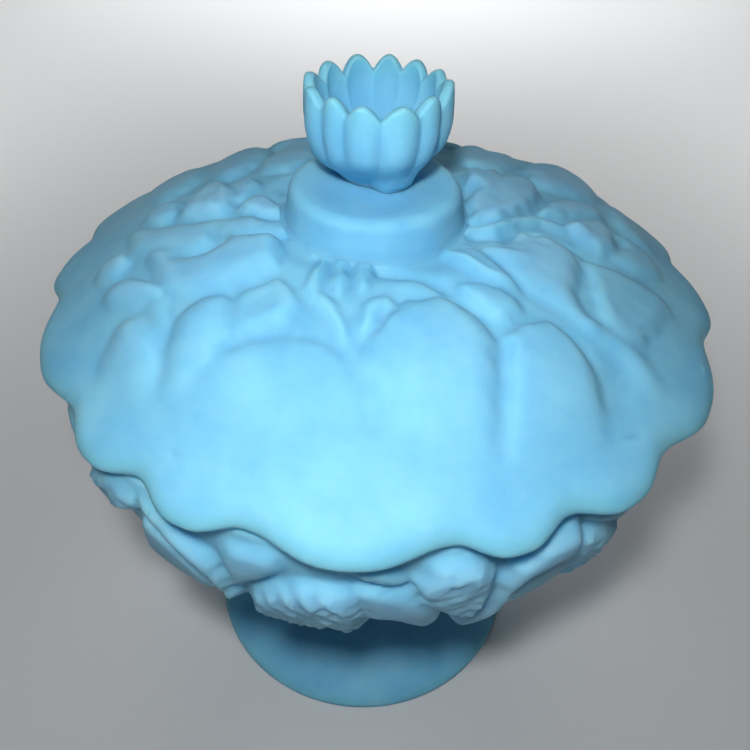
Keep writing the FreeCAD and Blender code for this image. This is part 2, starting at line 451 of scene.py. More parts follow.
def lobe_shape(angle):
    """Reach of the lobes' tips at each angle, and the notches between: 0 at a tip, 1 at a notch."""
    degrees = (np.degrees(angle) - LOBES[0][0]) % 360 + LOBES[0][0]
    reach = np.zeros_like(degrees)
    notch = np.zeros_like(degrees)
    tips = [tip for _, tip in LOBES]
    ends = [start for start, _ in LOBES[1:]] + [LOBES[0][0] + 360]
    for k, ((start, tip), end) in enumerate(zip(LOBES, ends)):
        here = (degrees >= start) & (degrees < end)
        across = 2 * (degrees[here] - start) / (end - start) - 1
        beside = np.where(across < 0, tips[k - 1], tips[(k + 1) % len(tips)])
        bend = 0.5 - 0.5 * np.cos(math.pi * across)
        reach[here] = tip + (beside - tip) * bend / 2
        notch[here] = bend ** 1.5
    return reach, notch


def left_leaves(r):
    """Leaf sheets behind the buds on the left."""
    r.pad([(-62, 2), (-53, -1.5), (-45, -3), (-34, -4), (-22, -5), (-20, -12), (-30, -14),
           (-38, -17), (-47, -16), (-56, -12), (-60, -7)], 1.9)
    r.pad([(-20.5, -14.5), (-25, -13.2), (-31, -13.5), (-32.5, -10.6), (-34.2, -12),
           (-35, -16), (-38, -17.5), (-43, -17.5), (-48, -13), (-52.5, -13.5), (-52, -18),
           (-48.5, -24), (-45.5, -29), (-40, -31), (-35, -31.6), (-30, -30.4), (-24.5, -28.4),
           (-20, -25.5)], 3.2, shoulder=5.5, crease=0.15, slope=(0.02, 0.05))
    r.furrow([(-47, -16), (-43, -21), (-40, -27)], 0.7, 2.6)
    r.furrow([(-37, -9), (-36.5, -14), (-38, -18)], 1.6, 1.7)
    r.pad([(-62, -23), (-60, -20.3), (-55, -20.5), (-51, -22.5), (-47.5, -25), (-45, -28.5),
           (-47, -30.4), (-51, -30), (-56, -28), (-60.5, -26)], 2.4, shoulder=3.2)
    r.pad([(-67.5, -11.5), (-64, -8.8), (-59.5, -8.6), (-57.5, -12), (-57, -15.5),
           (-59.5, -19.2), (-63, -18.2), (-66.3, -15)], 2.5, shoulder=3.5)


def left_buds(r):
    """Buds and small petals on the far left."""
    r.pad([(-59.5, 4), (-58, 9), (-54, 12), (-50, 10.5), (-48.5, 5), (-50, 0.3), (-54, -0.5),
           (-58, 1.5)], 2.2, shoulder=3.6)
    r.pad([(-39, 14), (-35, 18), (-31, 17), (-29, 11), (-31, 5), (-36, 4)], 1.9, shoulder=3.6)
    r.pad([(-49, 0.5), (-47.5, 7), (-45.5, 13), (-43, 17), (-40, 17.5), (-37.5, 13),
           (-35, 8), (-34.5, 2), (-36.5, -2.4), (-40, -3.2), (-45, -2)], 3.2, shoulder=4.0,
          ribs=0.28, rib_pitch=3.3, rib_turn=8, nubs=0.35, nub_size=1.8, seed=3)
    r.pad([(-34, -1), (-32, 3), (-28.5, 5.6), (-25, 5), (-22.5, 1), (-22.5, -4.2),
           (-27, -4.6), (-32, -3.2)], 2.5, shoulder=3.2)
    r.pad([(-31, 22), (-32, 34), (-27, 47), (-19, 50), (-15, 40), (-18, 27), (-24, 20)],
          1.9, shoulder=6.5)
    r.pad([(-58, 15), (-66, 26), (-67, 42), (-58, 50), (-50, 42), (-47, 28), (-51, 17)],
          1.7, shoulder=7)
    r.pad([(-44, 22), (-48, 37), (-44, 53), (-35, 55), (-30, 41), (-33, 27), (-38, 20)],
          2.1, shoulder=6.5)


def left_pads(r):
    """Spoon-shaped leaf, two smooth pads, and one in front that is rough on top."""
    r.pad(SPOON_LEAF, 2.4, shoulder=4.2, hollow=0.9, slope=(0.05, -0.03))
    r.pad(LEFT_PAD, 2.7, shoulder=6.5, crease=0.4, melt=((-50, -42), (-53, -62)))
    r.pad([(-41.8, -46), (-41.4, -39), (-39.8, -35.2), (-37, -32.8), (-33.5, -32.0),
           (-29.6, -33.4), (-27.8, -38), (-28, -46), (-29, -56), (-37, -62), (-42, -56)], 3.1,
          shoulder=6.0, crease=0.5, melt=((-34, -39), (-35, -60)))
    r.ridge([(-45, -29), (-45.8, -33), (-44, -38), (-42.5, -42)], 1.0, 2.4)
    r.pad([(-30, -46.6), (-26, -45.6), (-22, -45), (-16, -44.6), (-11, -45.2),
           (-7.5, -46.8), (-5, -49.4), (-2.5, -54), (-1, -64), (-6, -72), (-14, -76),
           (-28, -74), (-37, -66), (-38, -56), (-34, -50)], 1.6, shoulder=6.5, crease=0.35,
          melt=((-16, -47), (-19, -65)), nubs=0.2, nub_size=2.6, seed=5)


def collar_folds(r):
    """Folds that gather under the collar, and the cave above the front pad with its ledge."""
    r.pad([(-11.8, -21), (-13.7, -28), (-14.6, -31.2), (-13.4, -34.2), (-10.6, -38.2),
           (-8, -42), (-5.6, -46.5), (-4.2, -43), (-5.2, -39.5), (-7.6, -35.4),
           (-10.2, -33), (-9.8, -28), (-9.4, -22)], 1.7, shoulder=3.0, crease=0.35)
    r.pad([(-8.4, -20), (-5.2, -20), (-4.6, -27), (-4.9, -31), (-6.4, -34), (-8.4, -31.5)],
          1.1, shoulder=2.4)
    r.pad([(-3.8, -20), (0.4, -20), (0.6, -28), (-0.4, -31.5), (-2.8, -33.5), (-4, -29)],
          1.0, shoulder=2.4)
    r.pad([(-1.2, -35.6), (1, -33.6), (4, -33.8), (5.6, -36.4), (2.6, -40.4), (0.6, -43.6),
           (-1.4, -47), (-2.6, -42), (-2.4, -38)], 1.5, shoulder=3.0, crease=0.4)
    r.furrow([(1, -24.5), (5.5, -25.6), (8.6, -26.2), (11.6, -27.6), (14, -29), (17, -30.4)],
             1.7, 1.5, taper=0.12)
    r.ridge([(4.5, -30.8), (8.5, -30.4), (12, -31.2), (16, -31.8)], 0.8, 2.0)


def right_petals(r):
    """Two petals on the right, one behind the other, with rolled lower edges."""
    r.pad([(17.5, -29.5), (21, -27.5), (26, -28), (31, -29.5), (32, -33), (30.5, -36.5),
           (27, -37.3), (22.5, -35), (18.8, -32)], 2.0, shoulder=2.6, slope=(0.0, -0.04))
    r.ridge([(18.3, -30.5), (21, -33.8), (25, -36.2), (29.5, -37.2)], 0.8, 1.1)
    r.pad([(14.8, -16.5), (18, -15.4), (21.5, -14.8), (24.5, -17), (27.5, -20.5),
           (30.5, -24.5), (32.5, -28.7), (29, -28.9), (25, -27.4), (21, -25.4), (18, -22),
           (15.5, -19)], 2.5, shoulder=2.8, slope=(0.0, -0.06))
    r.ridge([(15.5, -17.6), (18.5, -21), (22, -24), (26, -26.6), (31.5, -28.3)], 0.9, 1.4)


def folded_leaf(r):
    """Big folded leaf on the right with curled petals on its back."""
    r.pad([(21.2, -11.4), (25, -15), (28.8, -14.4), (31.2, -10.8), (33.5, -7.6),
           (36.3, -8.0), (39.7, -7.1), (42.8, -8.3), (46.1, -8.7), (48.2, -11.5),
           (48.4, -16), (46.4, -22.8), (46.6, -28.5), (50.5, -34), (46, -34.2), (41, -31.8),
           (36.5, -29), (32, -26.2), (28, -22.5), (24.4, -18)], 3.0,
          crease=0.4, slope=(0.02, 0.09))
    r.ridge([(21, -11.6), (25, -16.2), (29.5, -18.4), (33, -19.2), (36, -17)], 0.8, 1.7)
    r.furrow([(32.5, -14), (36.5, -12.2), (41, -12.8)], 0.6, 1.0)
    r.swell((35, -9.8), 0.6, (2.2, 1.5), 10)
    r.swell((41, -10), 0.5, (2.4, 1.4), 0)
    r.ridge([(46, -32.8), (51, -34.2), (56, -36.5), (61, -41), (64, -47)], 1.6, 3.0)
    r.swell((53, -48), -1.9, (4.6, 10), 8)


def veined_leaf(r):
    """Leaf with five veins on the right flank."""
    r.pad([(50.5, -9), (57, -9.6), (64, -10.5), (70, -11.5), (73.5, -15.4), (70, -20.5),
           (66, -26), (61.5, -32), (58, -35), (53, -32.5), (50.2, -27), (50, -18)], 1.7,
          shoulder=4.5, hollow=0.5)
    for k in range(5):
        lean = 2.2 * k
        r.furrow([(52.5 + 3.4 * k, -12.5), (54.5 + lean, -20 - k), (55.5 + lean, -28 - k)],
                 0.3, 0.9)


def lily(r):
    """Toothed lily at the back right of the collar."""
    r.pad([(22.8, -3.4), (22.7, 2.2), (22.8, 9.6), (25.6, 12.2), (22.8, 15.4), (22.8, 19.5),
           (24.2, 23.6), (27, 25.6), (29, 24.6), (31.6, 29), (33.4, 27.4), (34.4, 23),
           (37, 26.6), (39.2, 24.8), (42.2, 25.2), (44, 22.5), (43.6, 17.6), (42, 12.6),
           (39.4, 7.4), (36, 2.8), (32.6, -0.6), (29.6, -2.9), (26, -3.3)], 3.0,
          shoulder=3.4, crease=0.7, slope=(0.0, 0.05))
    r.swell((29.5, 8), -1.1, (3.2, 4.6), 0)
    r.furrow([(30.5, 13), (32.5, 18), (34.2, 23)], 0.6, 1.2)


def ribbon(r):
    """Leaves and a petal to the right of the collar, and the ribbon that loops over them."""
    r.pad([(40.5, 5), (43.6, 12.9), (48.2, 18.5), (54, 21.5), (60.5, 21.5), (62.5, 15),
           (58, 12), (53, 9.6), (48, 6.5), (44, 4.5)], 2.3, shoulder=3.8, crease=0.5)
    r.pad([(47, 2.5), (50, 7), (54, 10.5), (58, 12.5), (61.5, 10.5), (62.4, 4.4),
           (60.4, -1.8), (56, -5.4), (52.4, -4.4), (48.6, -1.8)], 2.6, shoulder=4.2,
          crease=0.5)
    r.pad([(58.5, -4.5), (64, -7.6), (70, -6), (75, -1), (73, 6), (67, 11), (63.5, 12),
           (63.5, 4)], 1.7, shoulder=4.0)
    r.furrow([(23, -9.6), (30, -8.2), (37.9, -5.3), (41.5, -6), (45.4, -5.8), (49.3, -5.8),
              (52.5, -8.8), (57, -10)], 1.5, 1.5)
    r.ridge([(21.5, -6.3), (25.5, -6.2), (29, -5.8), (32, -3), (36, 0), (40, 1.6),
             (44.5, 1.2), (49, 0.8), (53.5, 1.4)], 1.9, 2.1, taper=0.15, crease=0.4)


def back_right_leaves(r):
    """Broad leaves at the back right, where the dome stands a little higher."""
    r.pad([(44, 26), (42, 36), (46, 48), (55, 56), (63, 52), (66, 42), (64, 31), (56, 25)],
          2.0, shoulder=6.5, crease=0.5)
    r.pad([(24, 32), (22, 44), (26, 56), (36, 60), (42, 52), (39, 38), (33, 31)], 2.0,
          shoulder=6.5, crease=0.5)
    r.pad([(66, 14), (65, 24), (69, 36), (76, 38), (80, 28), (80, 16), (74, 10)], 1.6,
          shoulder=5.5, crease=0.4)
    r.swell((60, 52), 2.6, (26, 22), -40)


def front_pads(r):
    """The two largest pads, on the right and in front."""
    r.pad(RIGHT_PAD, 2.9, crease=0.7, melt=((37, -48), (33, -80)))
    r.furrow([(41, -35), (44.6, -38.4), (46.6, -43.8)], 0.5, 1.6)
    r.pad(FRONT_PAD, 3.3, shoulder=6.5, crease=0.8, melt=((14, -44), (2, -69)))


def lid_relief(x, y):
    """Moulded leaves, petals and buds on the dome, seen from above; the viewer is at -Y."""
    r = Relief(x, y, LID_STEEP)
    for group in (left_leaves, left_buds, left_pads, collar_folds, right_petals, folded_leaf,
                  veined_leaf, lily, ribbon, back_right_leaves, front_pads):
        group(r)
    return r


def back_relief(x, y):
    """Pads, leaves and folds much like those in front, on the side away from the viewer."""
    turn = math.radians(172)
    bx = x * math.cos(turn) - y * math.sin(turn)
    by = x * math.sin(turn) + y * math.cos(turn)
    r = Relief(bx, by, LID_STEEP)
    r.pad(LEFT_PAD, 2.4, shoulder=6.5, crease=0.4, melt=((-50, -42), (-53, -62)))
    r.pad([(-41.5, -44), (-41.2, -39), (-39.8, -35.2), (-37, -32.8), (-33.5, -32.3),
           (-30, -33.8), (-28.6, -38), (-29, -44), (-31, -50), (-37, -52), (-41, -49)],
          2.9, crease=0.6)
    r.pad(SPOON_LEAF, 2.3, shoulder=3.0, hollow=1.3, slope=(0.05, -0.03))
    r.pad([(-31, -47), (-27, -45.6), (-22, -44.7), (-16, -44.3), (-11, -44.7),
           (-7.5, -46.4), (-5, -49.4), (-3.5, -54), (-3.5, -62), (-6, -70), (-14, -75),
           (-25, -73), (-33, -66), (-37, -57), (-35, -50)], 2.3, shoulder=6.0,
          crease=0.6, melt=((-18, -47), (-20, -72)))
    r.ridge([(-12, -21), (-13.4, -26.5), (-12.5, -31), (-10, -34.5), (-7.4, -38.5),
             (-5.8, -44)], 2.0, 2.2)
    r.ridge([(-4, -21), (-3.6, -28), (-2.6, -36)], 1.5, 2.2)
    r.ridge([(6, -21), (8, -26), (12, -30)], 1.4, 2.4)
    r.pad(RIGHT_PAD, 2.9, crease=0.7, melt=((37, -46), (40, -80)))
    r.pad(FRONT_PAD, 3.3, shoulder=5.5, crease=0.8, melt=((12, -44), (14, -80)))
    return r


# Pits, a slit and pimples left in the glass by the mould: place, height, half length and half
# width in mm, and turn in degrees.
MARKS = [((-36.5, -65.1), -0.55, 0.8, 0.8, 0), ((-13, -20.4), -0.6, 0.7, 0.9, 0),
         ((54.7, -54.8), -0.6, 2.6, 0.7, 25), ((29.2, -37), 0.4, 0.7, 0.7, 0),
         ((77.5, -30.5), 0.5, 0.7, 1.1, 0)]


def marks(x, y):
    """Height of the small marks in the dome."""
    h = np.zeros(x.shape)
    for (cx, cy), lift, long, wide, turn in MARKS:
        a = math.radians(turn)
        along = ((x - cx) * math.cos(a) + (y - cy) * math.sin(a)) / long
        beside = (-(x - cx) * math.sin(a) + (y - cy) * math.cos(a)) / wide
        h += lift * np.exp(-along ** 2 - beside ** 2)
    return h


def lid_profile():
    """Radius and z along the lid's section, the dome's part of it, and the rings with relief.

    The section runs from the middle of the collar's top over the dome, round the edge and the
    ring under it, to the middle of the hollow.
    """
    flat = COLLAR_RADIUS - COLLAR_EDGE
    collar = [np.array([[0.4, COLLAR_DISH_Z]]),
              curved_profile([(2.0, COLLAR_DISH_Z), (11.0, COLLAR_TOP_Z - 0.4),
                              (15.0, COLLAR_TOP_Z - 0.1), (flat, COLLAR_TOP_Z)], 1.6),
              arc_profile((flat, COLLAR_TOP_Z - COLLAR_EDGE), COLLAR_EDGE, 80, 0, 4),
              resample([(COLLAR_RADIUS + 0.1, COLLAR_TOP_Z - 3.8),
                        (COLLAR_RADIUS + 0.9, 155.9)], 1.0),
              arc_profile((COLLAR_RADIUS + 2.5, 155.6), 1.6, 186, 256, 4)]
    dome = curved_profile([(23.0, 154.05), (30, 152.6), (40, 150.5), (48, 148.4), (55, 146.1),
                           (62, 143.4), (68, 140.9), (73, 138.6), (77, 136.5), (80, 134.7)],
                          0.56)
    edge = curved_profile([(80, 134.7), (82.4, 133.0), (84.0, 131.4), (84.8, 130.0),
                           (84.9, 129.0), (84.3, 128.3), (83.2, UNDERSIDE_Z),
                           (81.4, UNDERSIDE_Z)], 0.5)[1:]
    under = [resample([(79.4, UNDERSIDE_Z), (FLANGE_OUTER, UNDERSIDE_Z)], 2.5),
             resample([(FLANGE_OUTER, FLANGE_Z + 1.0), (FLANGE_OUTER - 0.9, FLANGE_Z),
                       (FLANGE_INNER + 0.9, FLANGE_Z), (FLANGE_INNER, FLANGE_Z + 1.0),
                       (FLANGE_INNER, 129.0)], 2.4),
             curved_profile([(FLANGE_INNER, 130.5), (68.2, 133.6), (62.0, 138.8), (50.0, 143.6),
                             (34.0, 147.4), (16.0, 149.3), (3.0, HOLLOW_TOP_Z)], 4.5)]
    first = sum(len(part) for part in collar)
    rings = slice(first, first + len(dome) + len(edge))
    return np.vstack(collar + [dome, edge] + under), dome, rings


def lobed_grid(profile, dome, top_count, reach, notch):
    """Radius and z of the section at each angle, with the lobes and notches in its edge."""
    radius, z = profile[:, 0][None, :], profile[:, 1][None, :]
    on_top = np.arange(len(profile))[None, :] < top_count
    share = np.where(on_top, smoothstep(46.0, 84.0, radius),
                     smoothstep(FLANGE_OUTER + 1, 80.0, radius))
    bite = NOTCH_DEPTH * notch * np.where(on_top, smoothstep(71.0, 84.5, radius), share)
    # the dome keeps its slope into the notches, where the edge is taller
    slope_r = np.append(dome[:, 0], 92.0)
    slope_z = np.append(dome[:, 1], 127.2)
    kept = np.interp(radius - bite, slope_r, slope_z) - np.interp(radius, slope_r, slope_z)
    z = z + kept * on_top * smoothstep(126.9, 128.8, z)
    return radius + (reach - EDGE_RADIUS) * share - bite, z


def dome_relief(x, y, reach, notch, facing):
    """Height of leaves, pads and marks over the dome, fading out towards the lobes' edge.

    facing is 1 on the side towards the viewer and 0 on the rest.
    """
    front = lid_relief(x, y).grid()
    back = back_relief(x, y).grid()
    share_front = smoothstep(-36.0, -28.0, 0.55 * np.abs(x) - y)
    relief = soften(front * share_front + back * (1 - share_front), 4)
    relief += 0.07 * unevenness(x, y, 4.0, 21)
    out = np.hypot(x, y) / reach
    relief *= 1 - smoothstep(0.78 - 0.04 * facing, 0.95 - 0.02 * facing, out)
    relief += marks(x, y)
    valley = smoothstep(0.80, 0.97, out) * (1 - 0.7 * facing)
    return relief - 0.8 * notch ** 2 * valley


def make_lid():
    """Dome with its relief, scalloped edge, seat, flange and hollow, and the collar on top."""
    profile, dome, rings = lid_profile()
    angle = np.linspace(0, 2 * math.pi, AROUND_LID, endpoint=False)[:, None]
    reach, notch = lobe_shape(angle)
    radius, z = lobed_grid(profile, dome, rings.stop, reach, notch)
    x, y = radius * np.cos(angle), radius * np.sin(angle)
    facing = smoothstep(0.35, 0.75, -np.sin(angle))
    relief = dome_relief(x[:, rings], y[:, rings], reach, notch, facing)
    along = profile[rings, 0]
    ground = smoothstep(24, 31, along) * (1 - smoothstep(56, 77, along))
    z[:, rings] += relief + GROUND * ground
    lid = turned_mesh("lid_dome", x, y, z, (0, 0, COLLAR_DISH_Z), (0, 0, HOLLOW_TOP_Z))

    from_edge = np.hypot(profile[:, 0] - EDGE_RADIUS, profile[:, 1] - 130.2)
    thin = np.exp(-(from_edge / 3.2) ** 2)
    paint(lid, "thin", np.broadcast_to(thin[:, None], (len(profile), AROUND_LID)))
    # Painted highlight on the tops of the relief, kept weak on the side towards the viewer.
    raised = np.zeros((len(profile), AROUND_LID))
    raised[rings] = (smoothstep(0.7, 2.6, relief) * (1 - 0.8 * facing)).T
    paint(lid, "raised", raised)
    return lid


# ---------------------------- blossom
def blossom_crown():
    """Height of the petals' edge and the bulge of the petals at each angle round the flower."""
    angle = np.linspace(0, 360, AROUND_BLOSSOM, endpoint=False)
    height = np.zeros(AROUND_BLOSSOM)
    crown = np.full(AROUND_BLOSSOM, -9.0)
    for middle, half, tip, stand in PETALS:
        off = np.abs(off_from(angle, middle))
        drop = np.clip(off / (half + 1.2), 0, 1) ** 1.9
        height = np.maximum(height, tip - 4.3 * drop)
        crown = np.maximum(crown, stand - 1.5 * np.clip(off / half, 0, 1.3) ** 2)
    for _ in range(3):
        crown = 0.5 * crown + 0.25 * (np.roll(crown, 1) + np.roll(crown, -1))
        height = 0.5 * height + 0.25 * (np.roll(height, 1) + np.roll(height, -1))
    return angle, height, crown


def bell(value, middle, width):
    """Bell curve that is 1 at its middle."""
    return np.exp(-((value - middle) / width) ** 2)


def flower_side(angle, height, crown):
    """Radius, height and lean of each ring up the outside of the flower, from its base.

    The base swells towards the viewer and the left, and is pinched on the right.
    """
    side = smooth_line(FLOWER_SIDE, False)
    off = off_from(angle, -55)
    front = smoothstep(-44, -14, off) * (1 - smoothstep(10, 28, off))
    left = bell(off_from(angle, 186), 0, 44)
    right = bell(off_from(angle, -14), 0, 24)
    for share in np.linspace(0, 1, SIDE_RINGS):
        up = share * (height + BASE_DEPTH) - BASE_DEPTH
        level = np.clip(up / (TOP_Z - COLLAR_TOP_Z), 0, 1)
        bulb = np.interp(level, side[:, 0], side[:, 1])
        bulb += 4.0 * front * bell(level, 0.05, 0.16)
        bulb += 1.5 * left * bell(level, 0.17, 0.15)
        bulb -= 2.6 * right * bell(level, 0.1, 0.13)
        lean = 1 - smoothstep(0.0, 0.5, level)
        yield bulb + crown * smoothstep(0.08, 0.5, level), up, lean


def flower_edge(outer, height):
    """Radius and height of each ring over the rounded edge of the petals."""
    for k in range(1, EDGE_RINGS + 1):
        turn = math.pi * k / (EDGE_RINGS + 1)
        yield outer - PETAL_WALL / 2 * (1 - math.cos(turn)), height + 0.8 * math.sin(turn)


def flower_cup(inner, height, crown):
    """Radius and height of each ring down the inside of the petals to the middle of the cup."""
    middle = 1.2
    for share in np.linspace(0, 1, CUP_RINGS):
        level = 1 - share
        cup = middle + (inner - middle) * np.sqrt(np.clip(1 - share ** 2.2, 0, 1))
        groove = 0.35 * crown * smoothstep(0.15, 0.6, level) * (1 - level * 0.3)
        yield cup + groove, CUP_FLOOR + level * (height - CUP_FLOOR) - 0.6 * share


def make_blossom():
    """Open flower: a cup of ribbed petals with rounded tips, leaning on a broad low base."""
    angle, height, crown = blossom_crown()
    a = np.radians(angle)
    rings = []
    for radius, up, lean in flower_side(angle, height, crown):
        rings.append((radius * np.cos(a) + CUP_X + (BASE_X - CUP_X) * lean,
                      radius * np.sin(a) + CUP_Y + (BASE_Y - CUP_Y) * lean,
                      COLLAR_TOP_Z + up))
    outer = np.hypot(rings[-1][0] - CUP_X, rings[-1][1] - CUP_Y)
    for radius, up in (*flower_edge(outer, height), *flower_cup(outer - PETAL_WALL, height, crown)):
        rings.append((radius * np.cos(a) + CUP_X, radius * np.sin(a) + CUP_Y,
                      COLLAR_TOP_Z + up))
    x, y, z = (np.array(v).T for v in zip(*rings))
    blossom = turned_mesh("lid_blossom", x, y, z, (BASE_X, BASE_Y, COLLAR_TOP_Z - BASE_DEPTH),
                          (CUP_X, CUP_Y, COLLAR_TOP_Z + CUP_FLOOR - 0.7))
    thin = smoothstep(COLLAR_TOP_Z + 13, TOP_Z, z.T)
    paint(blossom, "thin", thin * 0.8)
    return blossom


# ---------------------------- footed bowl
# Surfaces of the nubbed buds and of the ribbed one.
ROUGH = {"nubs": 0.65, "nub_size": 1.4}
RIBBED = {"ribs": 0.42, "rib_pitch": 4.0, "rib_turn": 40, "nubs": 0.45, "nub_size": 1.35,
          "slope": (0, 0.05)}
# Leaves and buds round a third of the bowl: outline as (degrees from the front, distance in
# mm down the glass from its widest line), then height, shoulder and surface.
BOWL_MOTIFS = [
    ([(52, 8), (57, 5), (63, 5), (68, 9), (69, 18), (65, 32), (59, 36), (54, 26), (51, 14)],
     1.6, 5.0, {}),
    ([(-21, 5), (-18, 1), (-14, -1), (-11.5, 1), (-10.8, 5), (-12, 9.5), (-14.5, 13),
      (-17.5, 18), (-19.5, 24), (-21, 18)], 2.4, 5.0, {}),
    ([(-46, 3), (-51, 10), (-50, 19), (-44, 17), (-39, 11), (-35.5, 7), (-34.5, 2),
      (-36, -2), (-41, -2)], 2.5, 3.6, dict(ROUGH, seed=11)),
    ([(-35, 6), (-37, 14), (-40, 27), (-36, 34), (-29, 30), (-24.5, 30), (-24.5, 22),
      (-26, 15), (-29, 10), (-32, 7)], 2.9, 2.6, {}),
    ([(-36, -3), (-34.5, 3), (-31.5, 7), (-28.5, 9.5), (-26, 13.5), (-24.4, 19), (-23.8, 30),
      (-21, 32), (-20.6, 22), (-21.2, 14), (-23, 9), (-26, 6.5), (-29.5, 4.5), (-32, 1),
      (-33, -4)], 3.6, 2.4, {}),
    ([(-2, 10), (1, 8.5), (4, 9), (7, 11), (9.5, 14.5), (12, 20), (14.2, 30), (14.5, 42),
      (11, 46), (9, 38), (5.5, 28), (2, 25), (-2, 26)], 3.0, 3.4, {}),
    ([(-17.5, 20), (-19, 30), (-18, 44), (-11, 47), (-2, 48), (1.5, 42), (1.2, 26),
      (0.7, 15), (-0.5, 11.5), (-3, 9.5), (-8, 9.8), (-12, 12.5), (-15.5, 16)], 3.3, 4.4,
     dict(RIBBED, seed=12)),
    ([(-1.5, 4.5), (0, 1.5), (2.5, 1), (4.5, 2.5), (6.5, 6.5), (7, 9.5), (4, 8.5), (0, 6.8)],
     2.1, 2.4, {}),
    ([(6.8, -2), (9, -5), (12, -6), (13.7, -3), (11.5, -0.8), (8.5, -0.8)], 2.0, 2.2, {}),
    ([(7.4, 10), (8.8, 5), (10.5, 0), (13, -2.5), (15.5, -1), (18.2, 3.5), (20.2, 8),
      (20.5, 15), (20, 25), (18, 34), (14.5, 27), (11, 20), (8.7, 14)], 3.8, 3.8,
     dict(ROUGH, seed=13)),
    ([(34, 1), (39, 2), (45, 6), (51, 12), (52, 20), (48, 20), (43, 13), (38, 8)], 3.2, 3.0,
     {}),
    ([(33, 8), (35, 6), (39, 8), (44, 13), (48, 18), (48, 28), (43, 34), (37, 32), (35, 22)],
     4.2, 4.0, dict(ROUGH, seed=14)),
    ([(25, 21), (25.5, 15), (28, 12.3), (31, 11), (34.5, 15), (37, 24), (36.5, 34), (32, 38),
      (27, 38)], 3.3, 3.4, {}),
    ([(29, -5), (32.5, -1), (34, 5), (33.5, 10), (30, 11.3), (26, 12), (24.7, 17), (25, 26),
      (25.5, 36), (24, 44), (19, 46), (17, 40), (18, 31), (20, 24), (20.4, 14), (21.2, 7),
      (24, 3.5), (26.5, -1.5)], 4.7, 3.4, {}),
]


def bowl_relief(angle, v):
    """Moulded leaves, petals and buds, the same three times round the bowl.

    v is the distance down the glass from its widest line. All three turns share one surface.
    """
    per_degree = math.radians(BOWL_RADIUS)
    forms, grain = np.zeros(v.size), np.zeros(v.size)
    for turn in (0, 120, 240):
        off = off_from(np.degrees(angle), turn - 90)
        r = Relief(off * per_degree, -v, BOWL_STEEP)
        r.h, r.grain = forms, grain
        for outline, height, shoulder, surface in BOWL_MOTIFS:
            r.pad([(a * per_degree, -down) for a, down in outline], height,
                  shoulder=shoulder, crease=0.5, **surface)
    return soften(forms.reshape(v.shape), 2) + grain.reshape(v.shape)


def bowl_profile():
    """Radius and z along the bowl's section, and the rings of its outside that carry the relief.

    The section runs from the recess under the foot, up the stem and the outside of the bowl,
    over its rim and down to the bottom of the cup.
    """
    rim_round = 1.2
    recess = curved_profile([(1.5, 9.0), (16, 7.9), (30, 5.3), (42, 1.9), (46.0, 0.15)], 5.0)
    rest = resample([(46.8, 0.0), (50.4, 0.0)], 1.8)
    foot = curved_profile([(51.2, 0.25), (51.9, 1.1), (52.2, 2.6), (51.2, 4.2), (48.4, 5.8),
                           (40.0, 9.4), (30.0, 13.0), (21.0, 18.2), (15.9, 26.0), (14.5, 34.5),
                           (16.8, 43.0), (22.5, 49.0)], 1.7)
    low = -math.degrees(math.acos(STEM_TOP_RADIUS / BOWL_RADIUS))
    centre = (0, BOWL_CENTRE_Z)
    outer = np.vstack([arc_profile(centre, BOWL_RADIUS, low, -38, 30)[:-1],
                       arc_profile(centre, BOWL_RADIUS, -38, 0, 86)])
    rim_z = SEAT_Z - rim_round
    rim = np.vstack([arc_profile((BOWL_RADIUS - rim_round, rim_z), rim_round, 20, 90, 4),
                     arc_profile((BOWL_INNER + rim_round, rim_z), rim_round, 90, 180, 4)])
    inner = arc_profile(centre, BOWL_INNER, 0, -88, 26)
    first = len(recess) + len(rest) + len(foot)
    outside = slice(first, first + len(outer))
    return np.vstack([recess, rest, foot, outer, rim, inner]), outside


def make_bowl():
    """Bowl, stem and foot in one closed surface, with the relief round the bowl."""
    profile, outside = bowl_profile()
    angle = np.linspace(0, 2 * math.pi, AROUND_BOWL, endpoint=False)[:, None]
    radius = np.broadcast_to(profile[:, 0][None, :], (AROUND_BOWL, len(profile))).copy()
    z = np.broadcast_to(profile[:, 1][None, :], radius.shape).copy()
    below = (BOWL_CENTRE_Z - profile[outside, 1]) / BOWL_RADIUS
    down = np.arcsin(np.clip(below, 0, 1))[None, :]
    v = np.broadcast_to(down * BOWL_RADIUS, (AROUND_BOWL, down.size))
    relief = bowl_relief(np.broadcast_to(angle, v.shape), v)
    relief *= smoothstep(-1.0, 4.0, v) * (1 - smoothstep(50, 80, v))
    radius[:, outside] += relief * np.cos(down)
    z[:, outside] -= relief * np.sin(down)
    x, y = radius * np.cos(angle), radius * np.sin(angle)
    bowl = turned_mesh("footed_bowl_glass", x, y, z, (0, 0, 9.0),
                       (0, 0, BOWL_CENTRE_Z - BOWL_INNER))
    thin = 0.5 * smoothstep(48, 52, profile[:, 0]) * (profile[:, 1] < 6)
    paint(bowl, "thin", np.broadcast_to(thin[:, None], (len(profile), AROUND_BOWL)))
    # Painted highlight on the tops of the bowl's relief.
    raised = np.zeros((len(profile), AROUND_BOWL))
    raised[outside] = smoothstep(0.8, 3.4, relief).T
    paint(bowl, "raised", raised)
    return bowl


